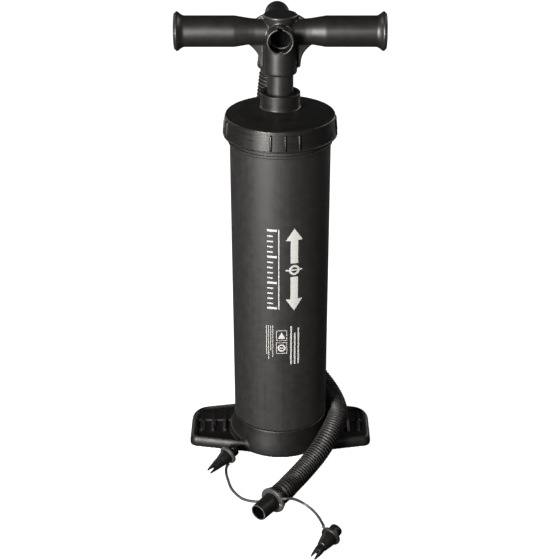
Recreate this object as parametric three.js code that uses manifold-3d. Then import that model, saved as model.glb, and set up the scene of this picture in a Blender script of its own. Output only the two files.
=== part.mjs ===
// Double action hand pump for inflatables, millimetres, +Z up.
// Origin: centre of the foot base's underside. The barrel and the piston rod stand on the Z axis,
// the grips run along X, the open port of the handle faces -Y and the hose leaves the rear port.
// Both strokes pump: air comes in through the handle's front port and the gap between the rod and
// the inner tube, goes through flap valves in the piston, and leaves through the inner tube, the
// rear port and the hose.
import * as THREE from 'three';
import { mergeVertices } from 'three/addons/utils/BufferGeometryUtils.js';
import Module from 'manifold-3d';

const wasm = await Module();
wasm.setup();

// ---------------------------------------------------------------- driving dimensions
const K = 1.0267; // drawing units to millimetres: the hub's flat top comes out at 480 mm
const N = 36; // facets of the large round parts
const NS = 20; // facets of the rod-sized parts
const BORE = 46.5; // barrel bore radius
const BARREL_R0 = 49.2, BARREL_R1 = 50.0; // barrel outside, bottom and top (moulding draft)
const SEAM_Z = 30.2; // top of the base ring
const SHOULDER_Z = 342.4; // barrel shoulder under the cap
const BARREL_TOP = 361.5;
const RING_R = 54.1; // base ring at the floor
const WING_X = 97.5, WING_Z = 11.0; // foot wings
const CAP_Z = 368.4, CAP_R = 55.8; // cap's rim
const COLLAR_R = 19.6, COLLAR_Z = 390.5; // collar around the rod
const ROD_R = 12.75, ROD_IN = 10.8;
const TUBE_R = 6.5, TUBE_IN = 5.0;
const GRIP_Z = 450.4, GRIP_R = 14.85, GRIP_X = 101.6, FLARE_R = 18.9, NECK_R = 12.0;
const SLEEVE_R = 16.4, SLEEVE_Z = 409.5, HUB_TOP = 467.3;
const PORT_Z = 448.3, PORT_R = 12.7, PORT_IN = 10.8, PORT_Y = 30.0;
const HOSE_R = 11.0, HOSE_IN = 9.2;

// ---------------------------------------------------------------- helpers
// A closed three.js geometry as a manifold-3d solid, whichever way its faces point.
function solid(geometry) {
  const flat = geometry.index ? geometry.toNonIndexed() : geometry.clone();
  const bare = new THREE.BufferGeometry().setAttribute('position', flat.getAttribute('position'));
  const merged = mergeVertices(bare, 1e-4);
  const idx = merged.index.array, tri = [];
  for (let i = 0; i < idx.length; i += 3)
    if (idx[i] !== idx[i + 1] && idx[i + 1] !== idx[i + 2] && idx[i] !== idx[i + 2]) tri.push(idx[i], idx[i + 1], idx[i + 2]);
  const make = (t) => new wasm.Manifold(new wasm.Mesh({
    numProp: 3, vertProperties: new Float32Array(merged.attributes.position.array), triVerts: new Uint32Array(t),
  }));
  let s = make(tri);
  if (s.volume() < 0) {
    for (let i = 0; i < tri.length; i += 3) [tri[i + 1], tri[i + 2]] = [tri[i + 2], tri[i + 1]];
    s = make(tri);
  }
  return s;
}
// Profile of [radius, height] turned about +Z, +X or +Y.
function turn(profile, n = N, axis = 'z') {
  const g = new THREE.LatheGeometry(profile.map(([r, h]) => new THREE.Vector2(r, h)), n);
  g.rotateX(Math.PI / 2);
  if (axis === 'x') g.rotateY(Math.PI / 2);
  if (axis === 'y') g.rotateX(-Math.PI / 2);
  return solid(g);
}
const ringPart = (r0, r1, z0, z1, n = N, axis = 'z') => turn([[r0, z0], [r1, z0], [r1, z1], [r0, z1], [r0, z0]], n, axis);
const disc = (r, z0, z1, n = N, axis = 'z', x = 0, y = 0) => {
  const s = turn([[0, z0], [r, z0], [r, z1], [0, z1]], n, axis);
  return x || y ? s.translate([x, y, 0]) : s;
};
const box = (x0, x1, y0, y1, z0, z1) => {
  const g = new THREE.BoxGeometry(x1 - x0, y1 - y0, z1 - z0);
  g.translate((x0 + x1) / 2, (y0 + y1) / 2, (z0 + z1) / 2);
  return solid(g);
};
// Outline of [x, y] pairs raised from z0 to z1.
function prism(points, z0, z1) {
  const shape = new THREE.Shape(points.map(([x, y]) => new THREE.Vector2(x, y)));
  const g = new THREE.ExtrudeGeometry(shape, { depth: z1 - z0, bevelEnabled: false });
  g.translate(0, 0, z0);
  return solid(g);
}
// Outline of [x, z] pairs, y0 to y1.
function plateXZ(points, y0, y1) {
  const shape = new THREE.Shape(points.map(([x, z]) => new THREE.Vector2(x, z)));
  const g = new THREE.ExtrudeGeometry(shape, { depth: y1 - y0, bevelEnabled: false });
  g.rotateX(Math.PI / 2); // (x, y, z) -> (x, -z, y)
  g.translate(0, y1, 0);
  return solid(g);
}
function circle(r, n) {
  const s = new THREE.Shape();
  for (let i = 0; i < n; i++) {
    const a = (i / n) * 2 * Math.PI;
    if (i) s.lineTo(r * Math.cos(a), r * Math.sin(a));
    else s.moveTo(r, 0);
  }
  s.closePath();
  return s;
}
// Tube or rod of radius r that follows points.
function sweep(points, r, n, steps, extend = 0) {
  const v = points.map((p) => new THREE.Vector3(...p));
  if (extend) {
    v.unshift(v[0].clone().addScaledVector(v[0].clone().sub(v[1]).normalize(), extend));
    const k = v.length - 1;
    v.push(v[k].clone().addScaledVector(v[k].clone().sub(v[k - 1]).normalize(), extend));
  }
  const path = new THREE.CatmullRomCurve3(v, false, 'centripetal');
  return solid(new THREE.ExtrudeGeometry(circle(r, n), { steps, extrudePath: path, bevelEnabled: false }));
}
const union = (...s) => s.reduce((a, b) => a.add(b));
const deg = THREE.MathUtils.degToRad;
const turnZ = (s, a) => s.rotate([0, 0, a]);

const root = new THREE.Group();
root.name = 'double_action_hand_pump';
const paint = (color, roughness = 0.5, metalness = 0) => new THREE.MeshStandardMaterial({ color, roughness, metalness });
const BODY = paint(0x1c1c1b, 0.42), MATT = paint(0x161615, 0.6), HOSE = paint(0x121211, 0.45);
const RUBBER = paint(0x0e0e0e, 0.8), STEEL = paint(0x9a9a9c, 0.35, 1), NATURAL = paint(0xd8d6cc, 0.5), VALVE = paint(0x30302e, 0.7);
function node(name, s, material = BODY, parent = root) {
  const m = s.simplify(0.004).getMesh(), n = m.numProp;
  const v = new Float32Array(m.numVert * 3);
  for (let i = 0; i < m.numVert; i++) v.set(m.vertProperties.subarray(i * n, i * n + 3).map((c) => c * K), i * 3);
  const g = new THREE.BufferGeometry();
  g.setAttribute('position', new THREE.BufferAttribute(v, 3));
  g.setIndex(new THREE.BufferAttribute(new Uint32Array(m.triVerts), 1));
  g.computeVertexNormals();
  const mesh = new THREE.Mesh(g, material);
  mesh.name = name;
  parent.add(mesh);
  return mesh;
}

// ---------------------------------------------------------------- foot base
// Half outline of a wing at +X, its front edge first; off shrinks it inwards.
function wingOutline(off, inner) {
  const front = (x) => -(44.2 - 0.1875 * (x - 27)) + off;
  const rear = (x) => 44.2 - 0.1875 * (x - 27) - off;
  const x1 = WING_X - off, rf = Math.max(7 - off, 1.5), rr = Math.max(14 - off, 3);
  const pts = [[inner, front(inner)]];
  const arc = (cx, cy, r, a0, a1, k) => {
    for (let i = 0; i <= k; i++) {
      const a = deg(a0 + ((a1 - a0) * i) / k);
      pts.push([cx + r * Math.cos(a), cy + r * Math.sin(a)]);
    }
  };
  arc(x1 - rf, front(x1 - rf) + rf * 1.02, rf, -79.4, 0, 3);
  arc(x1 - rr, rear(x1 - rr) - rr * 1.02, rr, 0, 79.4, 4);
  pts.push([inner, rear(inner)]);
  return pts;
}
const mirrorX = (s) => s.mirror([1, 0, 0]);
{
  let wing = prism(wingOutline(0, 20), 0, WING_Z);
  // tread recess: low front floor, a higher rear step, both kept clear of the ring's wall
  const inside = prism(wingOutline(3.6, 20), 0, 40).subtract(disc(57.2, -1, 41));
  wing = wing.subtract(inside.intersect(box(0, 120, -60, 8, 6.4, 40)));
  wing = wing.subtract(inside.intersect(box(0, 120, 7.9, 60, 8.6, 40)));
  for (const x of [60, 72.8, 85.6]) wing = wing.add(box(x - 1.5, x + 1.5, -9, 24, 5.8, 9.8));
  // hollow underside with cross ribs
  let under = prism(wingOutline(2.4, 20), -1, 3.9).subtract(disc(53.2, -2, 5));
  under = under.subtract(box(71.6, 74, -60, 60, -2, 5)).subtract(box(40, 120, -1.2, 1.2, -2, 5));
  wing = wing.subtract(under);
  const wings = wing.add(mirrorX(wing));
  const ring = turn([[0, 0], [RING_R, 0], [53.2, 9], [51.3, 19], [49.4, SEAM_Z], [0, SEAM_Z]]);
  let base = wings.add(ring);
  base = base.subtract(disc(47.7, 10, 40)); // socket for the barrel
  // underside of the ring: hollow, with six webs and four screw bosses
  let hollow = disc(50.2, -1, 6.2);
  for (const a of [45, 135]) hollow = hollow.subtract(turnZ(box(-52, 52, -1.2, 1.2, -2, 7), a));
  hollow = hollow.subtract(disc(9, -2, 7, 12));
  for (const [x, y] of [[26, 26], [-26, 26], [-26, -26], [26, -26]]) hollow = hollow.subtract(disc(6.4, -2, 7, 12, 'z', x, y));
  base = base.subtract(hollow);
  for (const [x, y] of [[26, 26], [-26, 26], [-26, -26], [26, -26]]) {
    base = base.subtract(disc(2.3, -1, 12, 10, 'z', x, y)).subtract(disc(4.8, -1, 3.2, 12, 'z', x, y));
  }
  node('foot_base', base, MATT);
}

// ---------------------------------------------------------------- barrel
const LUGS = [45, 135, 225, 315];
const sector = (a, half, z0, z1) => {
  const p = [[0, 0]];
  for (let i = 0; i <= 4; i++) {
    const t = deg(a - half + (i * half) / 2);
    p.push([90 * Math.cos(t), 90 * Math.sin(t)]);
  }
  return prism(p, z0, z1);
};
{
  let barrel = turn([
    [0, 10.4], [47.3, 10.4], [47.3, SEAM_Z + 0.3], [BARREL_R0, SEAM_Z + 0.3], [BARREL_R1, 339.4],
    [51.6, 340.4], [51.6, SHOULDER_Z], [49.6, SHOULDER_Z], [49.6, BARREL_TOP], [BORE, BARREL_TOP], [BORE, 13.4], [0, 13.4],
  ]);
  const ridge = ringPart(49, 51.4, 350.2, 353.6);
  for (const a of LUGS) barrel = barrel.add(ridge.intersect(sector(a, 24, 345, 358)));
  for (const [x, y] of [[26, 26], [-26, 26], [-26, -26], [26, -26]]) barrel = barrel.subtract(disc(2.0, 9, 12.6, 8, 'z', x, y));
  node('barrel', barrel, BODY);
}
[[26, 26], [-26, 26], [-26, -26], [26, -26]].forEach(([x, y], i) => {
  const s = union(disc(4.2, 0.9, 2.9, 12), disc(1.6, 2.8, 12.3, 8)).subtract(box(-2.6, 2.6, -0.5, 0.5, 0, 1.9));
  node('base_screw_' + (i + 1), s.translate([x, y, 0]), STEEL);
});

// ---------------------------------------------------------------- cap
const FRONT_RIBS = [-9.4, 5.2, 19.7];
{
  let cap = turn([
    [16.3, COLLAR_Z], [18.9, COLLAR_Z], [COLLAR_R, COLLAR_Z - 0.7], [COLLAR_R, 375.8], [53.0, CAP_Z], [54.1, 366.8], [CAP_R, 347.6],
    [51.9, 347.6], [51.9, 363.9], [46.0, 363.9], [COLLAR_R, 371.0], [COLLAR_R, 352], [16.3, 352], [16.3, 384.4], [14.4, 384.4],
    [14.4, 386.2], [16.3, 386.2], [16.3, COLLAR_Z],
  ]);
  for (let q = 0; q < 4; q++)
    for (const a of FRONT_RIBS) {
      const rib = box(53.0, 56.6, -0.9, 0.9, 349.6, 364.6);
      cap = cap.add(turnZ(rib, -90 + a + 90 * q));
    }
  const ledge = ringPart(50.4, 52.4, 347.6, 349.6);
  for (const a of LUGS) cap = cap.add(ledge.intersect(sector(a, 22, 345, 358)));
  node('screw_cap', cap, BODY);
}
node('cap_gasket', ringPart(46.9, 49.3, 361.8, 363.6), RUBBER);
node('rod_guide_bush', turn([[13.1, 366.4], [15.9, 366.4], [15.9, 384.0], [13.1, 384.0], [13.1, 366.4]], NS), NATURAL);
node('rod_seal', turn([[13.1, 360.6], [14.5, 363.4], [15.9, 360.6], [15.9, 366.0], [13.1, 366.0], [13.1, 360.6]], NS), RUBBER);
node('seal_retainer', ringPart(13.5, 15.9, 352.6, 360.2, NS), MATT);

// ---------------------------------------------------------------- rod and inner tube
{
  let rod = ringPart(ROD_IN, ROD_R, 37.4, 430.4, NS);
  rod = rod.subtract(disc(1.8, 8, 14, 8, 'y').translate([0, 0, 419]));
  node('rod_tube', rod, BODY);
  node('inner_air_tube', ringPart(TUBE_IN, TUBE_R, 28.4, 440.2, 16), NATURAL);
}

// ---------------------------------------------------------------- piston
const VX = 27; // valves sit on the X axis, intake at -X and outlet at +X
const portHoles = (s, x, z0, z1) => {
  for (let i = 0; i < 4; i++) {
    const a = deg(45 + i * 90);
    s = s.subtract(disc(2.4, z0, z1, 6, 'z', x + 5.6 * Math.cos(a), 5.6 * Math.sin(a)));
  }
  return s.subtract(disc(1.3, z0, z1, 6, 'z', x, 0));
};
{
  let body = turn([
    [0, 23.4], [45.0, 23.4], [45.0, 25.4], [42.0, 25.4], [42.0, 31.6], [45.0, 31.6], [45.0, 40.6], [42.0, 40.6], [42.0, 46.8],
    [45.0, 46.8], [45.0, 49.0], [0, 49.0],
  ]);
  // intake and outlet chambers, a wall and the centre post between them
  let room = disc(39.4, 23, 50).subtract(disc(16.0, 22, 51, NS)).subtract(box(-1.6, 1.6, -60, 60, 22, 51));
  for (const y of [30, -30]) room = room.subtract(disc(5, 22, 51, 12, 'z', 0, y));
  body = body.subtract(room);
  body = body.subtract(disc(13.05, 37, 50, NS)); // rod socket
  body = body.subtract(disc(10.4, 31.2, 38, NS)); // intake air below the rod
  body = body.subtract(box(-18, -4, -5, 5, 31.6, 36.6)); // to the intake chamber
  body = body.subtract(disc(6.8, 28, 32, 28)); // inner tube socket
  body = body.subtract(disc(4.8, 25, 29, 24)).subtract(box(0, 18, -3.6, 3.6, 25.2, 28)); // to the outlet chamber
  for (const y of [30, -30]) body = body.subtract(disc(1.8, 41, 50, 8, 'z', 0, y)).subtract(disc(1.8, 22, 31, 8, 'z', 0, y));
  node('piston_body', body, MATT);

  let top = turn([[13.05, 49.3], [45.0, 49.3], [45.0, 53.3], [16.6, 53.3], [15.6, 54.6], [15.6, 66.0], [13.05, 66.0], [13.05, 49.3]]);
  top = portHoles(portHoles(top, -VX, 48, 55), VX, 48, 55);
  for (const y of [30, -30]) top = top.subtract(disc(2.0, 48, 55, 8, 'z', 0, y));
  node('piston_top_cover', top, MATT);

  let bottom = disc(45.0, 19.1, 23.1);
  bottom = portHoles(portHoles(bottom, -VX, 18, 24), VX, 18, 24);
  for (const y of [30, -30]) bottom = bottom.subtract(disc(2.0, 18, 24, 8, 'z', 0, y));
  node('piston_bottom_cover', bottom, MATT);

  // cup seals, lips towards the chamber that each one holds
  const lip = (a, b) => turn([[42.3, a], [45.4, a], [46.15, b], [45.3, b], [42.3, (a + b) / 2], [42.3, a]]);
  node('piston_seal_lower', lip(31.2, 25.8), RUBBER);
  node('piston_seal_upper', lip(41.0, 46.4), RUBBER);

  [30, -30].forEach((y, i) => {
    const up = union(disc(3.6, 53.6, 55.4, 12), disc(1.4, 42, 53.7, 8)).subtract(box(-2.2, 2.2, -0.5, 0.5, 54.5, 56));
    node('piston_top_screw_' + (i + 1), up.translate([0, y, 0]), STEEL);
    const down = union(disc(3.6, 17.0, 18.8, 12), disc(1.4, 18.7, 30, 8)).subtract(box(-2.2, 2.2, -0.5, 0.5, 16, 17.9));
    node('piston_bottom_screw_' + (i + 1), down.translate([0, y, 0]), STEEL);
  });

  // flap discs with 1.5 mm of lift, each on a headed pin through the cover
  const VALVES = [
    ['intake_valve_upper', -VX, 53.6, 1, 49.6], ['intake_valve_lower', -VX, 18.8, -1, 22.8],
    ['outlet_valve_upper', VX, 49.0, -1, 53.0], ['outlet_valve_lower', VX, 23.4, 1, 19.4],
  ];
  for (const [name, x, seat, way, far] of VALVES) {
    const z = (d) => seat + way * d;
    const span = (a, b) => [Math.min(a, b), Math.max(a, b)];
    node(name + '_disc', ringPart(1.9, 9.0, ...span(z(0), z(1.2)), 12).translate([x, 0, 0]), VALVE);
    const pin = union(disc(0.85, ...span(far - way * 0.6, z(4.0)), 6), disc(3.0, ...span(z(3.0), z(4.2)), 8), disc(1.9, ...span(far - way * 0.6, far - way * 1.4), 8));
    node(name + '_pin', pin.translate([x, 0, 0]), NATURAL);
  }
  node('inner_tube_o_ring', ringPart(6.85, 9.3, 39.3, 41.7, 16), RUBBER);
}

// ---------------------------------------------------------------- handle
{
  let hub = turn([
    [0, SLEEVE_Z], [14.6, SLEEVE_Z], [SLEEVE_R, 412.2], [SLEEVE_R, 438], [12.6, 449.5], [16.3, 466.2], [15.7, HUB_TOP], [0, HUB_TOP],
  ], NS);
  const half = [
    [0, 0], [NECK_R, 0], [NECK_R, 24], [12.6, 30], [GRIP_R, 43.5], [GRIP_R, 91.5], [16.4, 95], [FLARE_R, 98.4], [18.2, 99.6], [0, 99.6],
  ];
  const grip = turn(half, NS, 'x');
  const grips = union(grip, mirrorX(grip)).translate([0, 0, GRIP_Z]);
  let port = disc(PORT_R, -PORT_Y, PORT_Y, NS, 'y').translate([0, 0, PORT_Z]);
  let body = union(hub, grips, port);
  // webs under and over the grips
  const web = [[14, 414.6], [19.5, 414.6], [19.9, 421], [21.6, 427], [24.6, 432.2], [31.5, 438.6], [31.5, 445], [14, 445]];
  const over = [[10, 455], [26, 455], [24.5, 461.4], [20.5, 464.6], [17.6, 466.2], [10, 466.2]];
  for (const w of [web, over]) {
    const p = plateXZ(w, -1.8, 1.8);
    body = union(body, p, mirrorX(p));
  }
  // rod socket and inner tube socket
  body = body.subtract(disc(13.05, SLEEVE_Z - 1, 430.8, NS)).subtract(disc(6.9, 430, 441, 16));
  // front port, with an air way down to the rod's outer channel
  body = body.subtract(disc(PORT_IN, -PORT_Y - 1, -8.2, NS, 'y').translate([0, 0, PORT_Z]));
  body = body.subtract(box(-5.5, 5.5, -10.6, -8.3, 430, 446));
  // rear port, over the inner tube, wide where the hose elbow plugs in
  body = body.subtract(disc(9.2, -5.0, 20, NS, 'y').translate([0, 0, PORT_Z]));
  body = body.subtract(disc(PORT_IN, 12.6, PORT_Y + 1, NS, 'y').translate([0, 0, PORT_Z]));
  // bayonet notches in both rims, top and bottom, and an inside ledge at the front
  for (const s of [-1, 1]) {
    const [a, b] = s < 0 ? [-PORT_Y - 1, -23.5] : [23.5, PORT_Y + 1];
    body = body.subtract(box(-2.3, 2.3, a, b, PORT_Z - 14, PORT_Z + 14));
  }
  let ledge = ringPart(9.0, 11.6, -19.5, -17.5, NS, 'y').translate([0, 0, PORT_Z]);
  ledge = ledge.intersect(box(-1, 14, -25, -10, PORT_Z - 14, PORT_Z + 3));
  body = body.add(ledge);
  // cored grips
  for (const s of [-1, 1]) {
    const core = turn([[0, 42], [11.6, 42], [11.9, 101], [0, 101]], NS, 'x').translate([0, 0, GRIP_Z]);
    body = body.subtract(s > 0 ? core : mirrorX(core));
  }
  body = body.subtract(disc(1.7, 8, 20, 8, 'y').translate([0, 0, 419]));
  node('handle_body', body, BODY);
  const plug = turn([[0, 90], [11.2, 90], [11.2, 99.9], [17.8, 99.9], [16, 101.1], [0, GRIP_X]], NS, 'x').translate([0, 0, GRIP_Z]);
  node('grip_end_cap_right', plug, BODY);
  node('grip_end_cap_left', mirrorX(plug), BODY);
  const screw = union(disc(1.25, 11.4, 16.8, 8, 'y'), disc(2.9, 16.7, 18.4, 12, 'y')).subtract(box(-2.0, 2.0, 17.6, 19, -0.45, 0.45));
  node('handle_rod_screw', screw.translate([0, 0, 419]), STEEL);
}

// ---------------------------------------------------------------- hose elbow at the rear port
const ELBOW = [[-0.6, 33, 448.3], [-1.6, 45, 448.3], [-2.6, 56, 449.3], [-3.2, 63.8, 448.4], [-3.9, 69.3, 442.8], [-4.8, 71.3, 434], [-7.4, 71.4, 412], [-10.0, 71.5, 391]];
{
  const out = sweep(ELBOW, 12.3, 12, 9);
  let e = union(out, ringPart(5, 10.4, 14, 34, NS, 'y').translate([0, 0, PORT_Z]), disc(13.4, 30.4, 33.8, NS, 'y').translate([0, 0, PORT_Z]));
  // bayonet lugs in the port's notches
  for (const s of [-1, 1]) e = e.add(box(-1.7, 1.7, 25.2, 31, s > 0 ? PORT_Z + 9.6 : PORT_Z - 12.1, s > 0 ? PORT_Z + 12.1 : PORT_Z - 9.6));
  e = e.subtract(disc(8.2, 10, 36, NS, 'y').translate([0, 0, PORT_Z]));
  e = e.subtract(sweep(ELBOW, 8.6, 8, 9, 6));
  e = e.subtract(ringPart(9.6, 12, 17.0, 20.0, NS, 'y').translate([0, 0, PORT_Z]));
  // cuff over the start of the hose
  const tip = new THREE.Vector3(...ELBOW[7]), up = new THREE.Vector3(...ELBOW[6]).sub(tip).normalize();
  const cuff = new THREE.LatheGeometry([[10, 0], [13.8, 0], [13.8, 20], [11.2, 24], [10, 24], [10, 0]].map(([r, h]) => new THREE.Vector2(r, h)), NS);
  cuff.applyQuaternion(new THREE.Quaternion().setFromUnitVectors(new THREE.Vector3(0, 1, 0), up));
  cuff.translate(tip.x, tip.y, tip.z);
  e = e.add(solid(cuff));
  node('hose_elbow', e, MATT);
  node('elbow_o_ring', ringPart(9.75, 10.5, 17.4, 19.6, 20, 'y').translate([0, 0, PORT_Z]), RUBBER);
}

// ---------------------------------------------------------------- hose: down behind the barrel, round its right side, out to the front
const HOSE_PATH = [
  [-10.1, 71.5, 390.6], [-11.9, 71.9, 375], [-14.4, 72.8, 350], [-16.4, 74, 300], [-17, 74.6, 240], [-15.8, 75.4, 190], [-11.8, 76.2, 150],
  [-4.4, 77, 115], [7.6, 76.4, 84.5], [21.6, 72.2, 61], [35.6, 63.6, 44], [47.6, 51, 33.8], [57.2, 34, 27.6], [62.8, 14, 25],
  [62.6, -8, 24.4], [56.6, -31, 23.9], [48.2, -52.4, 20.6], [39, -69, 15.6], [29.2, -84.4, 12.3], [18.6, -103, 11.5], [9.6, -118.6, 11.6],
  [4.9, -130.4, 14.0], [0.3, -138.5, 14.9], [-4.15, -144.55, 14.55],
];
const SPLIT = 0.46; // the rear run ends at this share of the length, the front run starts there
{
  const whole = new THREE.CatmullRomCurve3(HOSE_PATH.map((p) => new THREE.Vector3(...p)), false, 'centripetal');
  const stretch = (t0, t1, k) => Array.from({ length: k + 1 }, (_, i) => whole.getPointAt(t0 + ((t1 - t0) * i) / k).toArray());
  const part = (pts, steps) => sweep(pts, HOSE_R, 8, steps).subtract(sweep(pts, HOSE_IN, 8, steps, 3));
  const a = stretch(0, SPLIT - 0.0007, 24), b = stretch(SPLIT + 0.0007, 1, 40);
  node('hose_rear_run', part(a, 12), HOSE);
  node('hose_front_run', part(b, 22), HOSE);
}

// ---------------------------------------------------------------- hose nozzle and tether collar, on the nozzle's own axis
const NOZZLE_AT = new THREE.Vector3(-6.2, -147.3, 14.35); // back face of the flange
const NOZZLE_DIR = new THREE.Vector3(-0.6, -0.8, -0.06).normalize();
const nozzleGroup = new THREE.Group();
nozzleGroup.position.copy(NOZZLE_AT).multiplyScalar(K);
nozzleGroup.quaternion.setFromUnitVectors(new THREE.Vector3(0, 0, 1), NOZZLE_DIR);
root.add(nozzleGroup);
{
  const nozzle = turn([
    [5.7, -11], [7.0, -11], [7.9, -9], [7.3, -8], [7.3, -2.6], [12.4, -2.6], [12.4, 0], [8.9, 0], [8.8, 7.5], [7.8, 25.2], [7.5, 25.9],
    [6.7, 25.9], [6.6, 14], [5.7, 12], [5.7, -11],
  ], NS);
  node('hose_nozzle', nozzle, MATT, nozzleGroup);
  node('tether_collar', turn([[9.2, 0.3], [13.2, 0.3], [13.9, 1.2], [13.9, 2.8], [13.2, 3.6], [9.2, 3.6], [9.2, 0.3]], NS), HOSE, nozzleGroup);
}

// ---------------------------------------------------------------- valve adapters, lying on the floor, and their tethers
function adapter(name, at, dir, small) {
  const g = new THREE.Group();
  g.position.set(...at).multiplyScalar(K);
  const axis = new THREE.Vector3(...dir).normalize();
  g.quaternion.setFromUnitVectors(new THREE.Vector3(0, 0, 1), axis);
  // rolled about its axis so that the slit faces forward and up
  const across = new THREE.Vector3(0, 1, 0).applyQuaternion(g.quaternion), want = new THREE.Vector3(0, -0.78, 0.62);
  want.addScaledVector(axis, -want.dot(axis)).normalize();
  g.quaternion.premultiply(new THREE.Quaternion().setFromAxisAngle(axis, Math.atan2(axis.dot(across.clone().cross(want)), across.dot(want))));
  root.add(g);
  const body = small
    ? [[4.2, -10], [6.1, -10], [6.4, -9], [6.4, -1.2], [9.9, -1.2], [9.9, 1.6], [7.6, 1.6], [5.0, 17], [3.1, 29], [1.7, 29], [1.7, 22], [4.2, 0], [4.2, -10]]
    : [[4.2, -10.5], [6.1, -10.5], [6.4, -9.5], [6.4, -1.2], [9.9, -1.2], [9.9, 1.6], [8.0, 1.6], [5.3, 15.6], [4.5, 16.2], [4.3, 24], [3.2, 31], [1.7, 31], [1.7, 23], [4.2, 0], [4.2, -10.5]];
  const end = small ? 29 : 31;
  let s = turn(body, 14);
  s = s.subtract(plateXZ([[-0.5, end - 7.5], [0.5, end - 7.5], [1.5, end + 1], [-1.5, end + 1]], -6, 6));
  node(name, s, MATT, g);
}
const ADAPTER_L = { at: [-55, -63.3, 10.25], dir: [-0.657, -0.72, -0.225] };
const ADAPTER_R = { at: [48.8, -201.2, 10.2], dir: [-0.561, -0.804, -0.192] };
adapter('valve_adapter_left', ADAPTER_L.at, ADAPTER_L.dir, true);
adapter('valve_adapter_right', ADAPTER_R.at, ADAPTER_R.dir, false);
const TETHER_L = [[-17.05, -141.1, 7.1], [-20.8, -138.8, 5.0], [-30.3, -134.6, 2.6], [-39, -128.6, 1.5], [-49, -114.3, 1.5], [-54.6, -95, 1.5], [-56.6, -83.3, 1.5], [-56.9, -76.5, 1.5], [-56.2, -71.8, 1.5]];
const TETHER_R = [[2.25, -156.7, 21.4], [5.2, -158.2, 22.8], [12.9, -155.6, 20.6], [22.1, -154.4, 15], [31.1, -160.5, 11.6], [37.6, -172, 11], [40.6, -184, 13], [41.7, -193, 16.6], [41.8, -198.4, 18.8]];
node('tether_left', sweep(TETHER_L, 1.25, 6, 18), HOSE);
node('tether_right', sweep(TETHER_R, 1.25, 6, 18), HOSE);

export default root;
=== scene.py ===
"""Looks of the double action hand pump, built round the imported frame. Lengths below are in drawing units; S turns them into metres."""
import math

import bmesh
import bpy
import numpy as np
from mathutils import Matrix, Quaternion, Vector


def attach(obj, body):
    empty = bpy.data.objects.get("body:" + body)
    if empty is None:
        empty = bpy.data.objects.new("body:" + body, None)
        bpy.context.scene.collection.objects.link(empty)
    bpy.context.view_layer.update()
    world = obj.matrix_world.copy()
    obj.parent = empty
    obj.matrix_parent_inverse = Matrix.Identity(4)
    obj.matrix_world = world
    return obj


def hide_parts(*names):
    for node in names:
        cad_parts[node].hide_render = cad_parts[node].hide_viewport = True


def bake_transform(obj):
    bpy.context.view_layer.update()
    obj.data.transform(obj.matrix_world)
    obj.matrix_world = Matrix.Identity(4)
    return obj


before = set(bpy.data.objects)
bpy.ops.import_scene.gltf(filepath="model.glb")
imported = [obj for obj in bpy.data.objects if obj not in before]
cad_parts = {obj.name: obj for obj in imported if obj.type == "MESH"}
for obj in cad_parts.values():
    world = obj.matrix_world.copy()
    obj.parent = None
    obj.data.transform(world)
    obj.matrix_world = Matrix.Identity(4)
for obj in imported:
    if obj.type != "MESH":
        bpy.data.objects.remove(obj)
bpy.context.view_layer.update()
S = 1.0267e-3
scene = bpy.context.scene
RNG = np.random.default_rng(7)

# ------------------------------------------------------------------ camera
cam_data = bpy.data.cameras.new("camera")
cam_data.lens, cam_data.sensor_width = 87.18, 36.0
cam = bpy.data.objects.new("camera", cam_data)
cam.location = (-0.00028, -1.2900, 0.8456)
cam.rotation_euler = (math.radians(63.06), 0, 0)
scene.collection.objects.link(cam)
scene.camera = cam


# ------------------------------------------------------------------ mesh helpers
def new_object(name, verts, faces, scale=S):
    me = bpy.data.meshes.new(name)
    me.from_pydata([tuple(float(c) * scale for c in v) for v in verts], [], [tuple(int(i) for i in f) for f in faces])
    me.validate()
    ob = bpy.data.objects.new(name, me)
    scene.collection.objects.link(ob)
    return ob


def outward(ob):
    bm = bmesh.new()
    bm.from_mesh(ob.data)
    bmesh.ops.remove_doubles(bm, verts=bm.verts, dist=1e-8)
    bmesh.ops.recalc_face_normals(bm, faces=bm.faces)
    bm.to_mesh(ob.data)
    bm.free()
    return ob


def smooth(ob, angle=32.0):
    ob.data.polygons.foreach_set("use_smooth", [True] * len(ob.data.polygons))
    ob.data.set_sharp_from_angle(angle=math.radians(angle))
    return ob


def apply_modifiers(ob):
    dg = bpy.context.evaluated_depsgraph_get()
    me = bpy.data.meshes.new_from_object(ob.evaluated_get(dg))
    old = ob.data
    ob.modifiers.clear()
    ob.data = me
    me.name = ob.name
    bpy.data.meshes.remove(old)
    return ob


def weighted(ob):
    m = ob.modifiers.new("wn", "WEIGHTED_NORMAL")
    m.weight, m.keep_sharp = 80, True
    return apply_modifiers(ob)


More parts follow.
